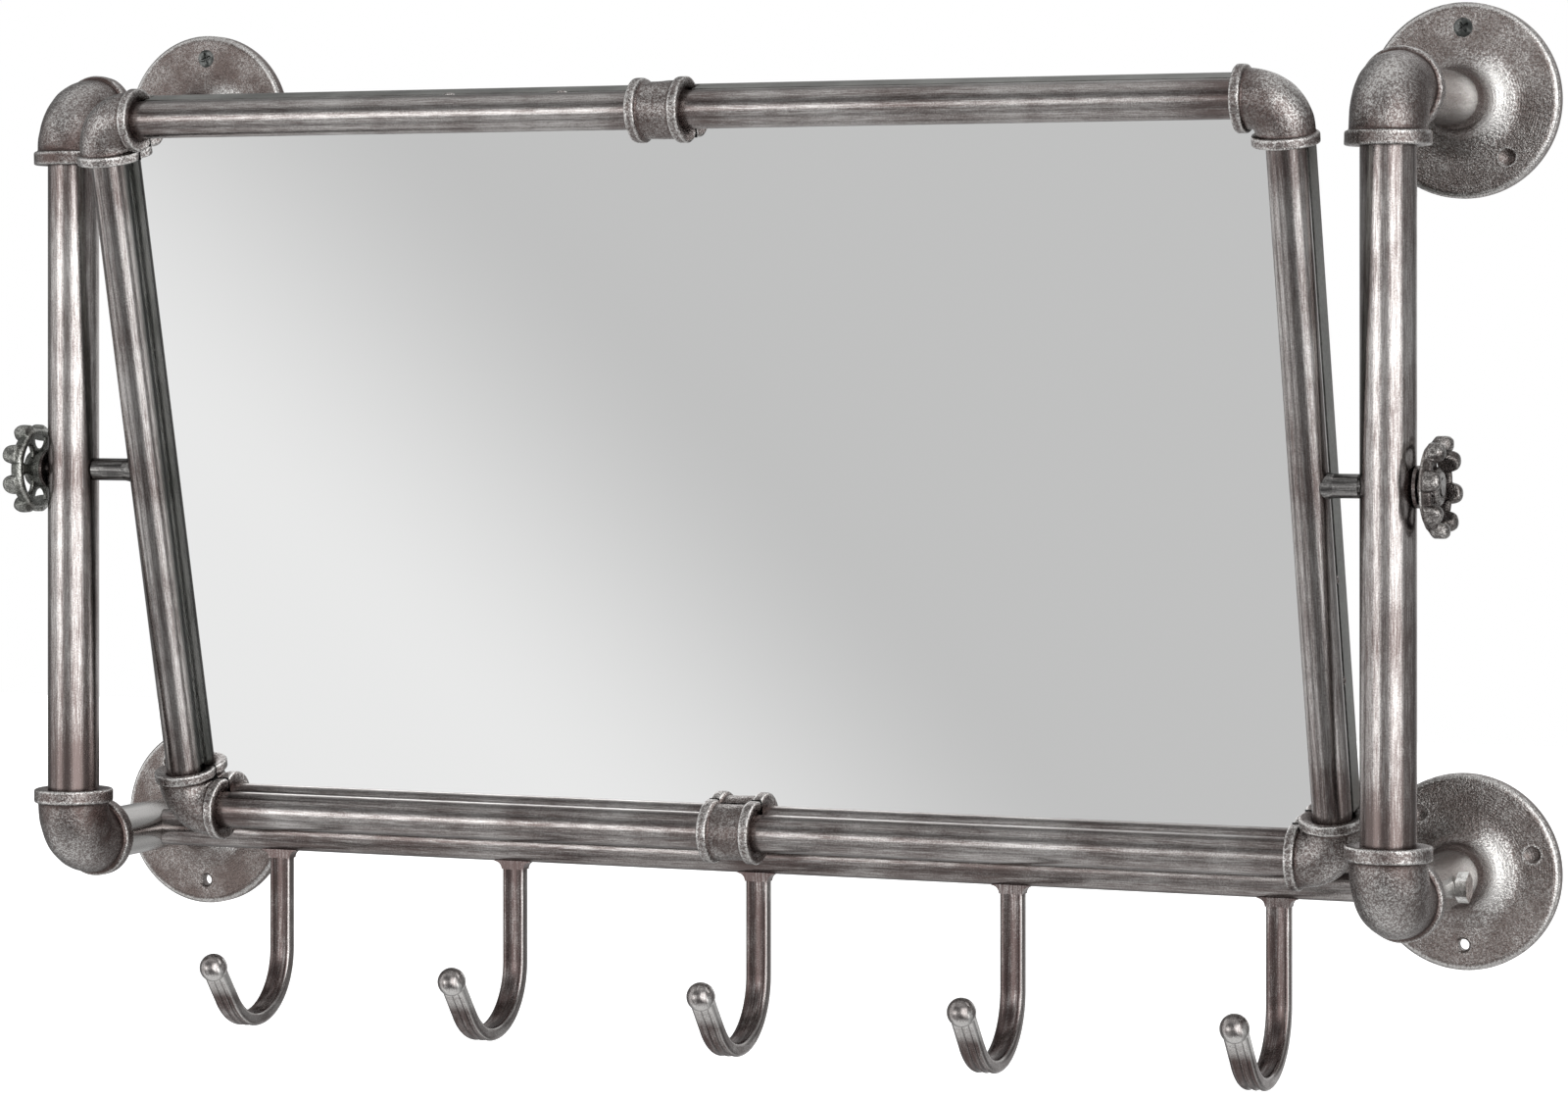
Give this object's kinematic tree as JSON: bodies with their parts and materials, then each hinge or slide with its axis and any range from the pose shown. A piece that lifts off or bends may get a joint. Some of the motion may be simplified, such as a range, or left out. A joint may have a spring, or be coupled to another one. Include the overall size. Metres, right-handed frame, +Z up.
{
  "type": "tilting wall mirror with hooks",
  "caption": "Rectangular mirror in a frame of pipe and cast fittings, tilting between two upright posts clamped by handwheels, with a rail of coat hooks below.",
  "frame": {"origin": "centre of the rectangle of the wall screw holes, in the wall plane, midway between the upper and lower flanges", "axes": "+X along the wall to the viewer's right, +Y into the wall, +Z up; the mirror faces -Y"},
  "size_m": [0.8054, 0.2058, 0.5275],
  "materials": {
    "flange": "rough cast and burnished, clear coated",
    "pipe": "antiqued, rubbed lengthways",
    "post_fitting": "rough cast, rims rubbed bright",
    "rail": "antiqued, rubbed lengthways",
    "bolt": "plain bright",
    "hook": "antiqued, polished on the edges",
    "frame_tube": "antiqued, rubbed lengthways",
    "frame_fitting": "rough cast, rims rubbed bright",
    "mirror": "silvered float glass",
    "board": "plain fibreboard",
    "tray": "antiqued sheet steel",
    "stud": "turned steel",
    "washer": "plain",
    "handwheel": "cast, knobs rubbed bright"
  },
  "bodies": {
    "wall_frame": {"flange_ul": "flange", "flange_ur": "flange", "flange_ll": "flange", "flange_lr": "flange", "arm_ul": "pipe", "arm_ur": "pipe", "arm_ll": "pipe", "arm_lr": "pipe", "post_left": "pipe", "post_right": "pipe", "post_elbow_ul": "post_fitting", "post_elbow_ur": "post_fitting", "post_elbow_ll": "post_fitting", "post_elbow_lr": "post_fitting", "hook_rail": "rail", "rail_bolts": "bolt", "hook_1": "hook", "hook_2": "hook", "hook_3": "hook", "hook_4": "hook", "hook_5": "hook"},
    "mirror_frame": {"side_tube_left": "frame_tube", "side_tube_right": "frame_tube", "top_tube_left": "frame_tube", "top_tube_right": "frame_tube", "bottom_tube_left": "frame_tube", "bottom_tube_right": "frame_tube", "frame_elbow_ul": "frame_fitting", "frame_elbow_ur": "frame_fitting", "frame_elbow_ll": "frame_fitting", "frame_elbow_lr": "frame_fitting", "coupling_top": "frame_fitting", "coupling_bottom": "frame_fitting", "mirror_glass": "mirror", "backing_board": "board", "tray": "tray", "pivot_left": "stud", "pivot_right": "stud"},
    "clamp_left": {"washer_left": "washer"},
    "clamp_right": {"washer_right": "washer"},
    "wheel_left": {"handwheel_left": "handwheel"},
    "wheel_right": {"handwheel_right": "handwheel"}
  },
  "joints": [
    {"name": "mirror_tilt", "type": "hinge", "parent": "wall_frame", "child": "mirror_frame", "pos_m": [0, -0.1456, 0.0042], "axis": [1, 0, 0], "range_deg": [-40, 4]},
    {"name": "clamp_left_slide", "type": "slide", "parent": "mirror_frame", "child": "clamp_left", "axis": [-1, 0, 0], "range_m": [0, 0.0025]},
    {"name": "clamp_right_slide", "type": "slide", "parent": "mirror_frame", "child": "clamp_right", "axis": [1, 0, 0], "range_m": [0, 0.0025]},
    {"name": "wheel_left_turn", "type": "hinge", "parent": "clamp_left", "child": "wheel_left", "pos_m": [-0.3676, -0.1456, 0.0042], "axis": [-1, 0, 0], "range_deg": [0, 720]},
    {"name": "wheel_right_turn", "type": "hinge", "parent": "clamp_right", "child": "wheel_right", "pos_m": [0.3676, -0.1456, 0.0042], "axis": [1, 0, 0], "range_deg": [0, 720]}
  ],
  "couplings": [
    {"joint": "clamp_left_slide", "follows": "wheel_left_turn", "m_per_rad": 0.00019894},
    {"joint": "clamp_right_slide", "follows": "wheel_right_turn", "m_per_rad": 0.00019894}
  ]
}
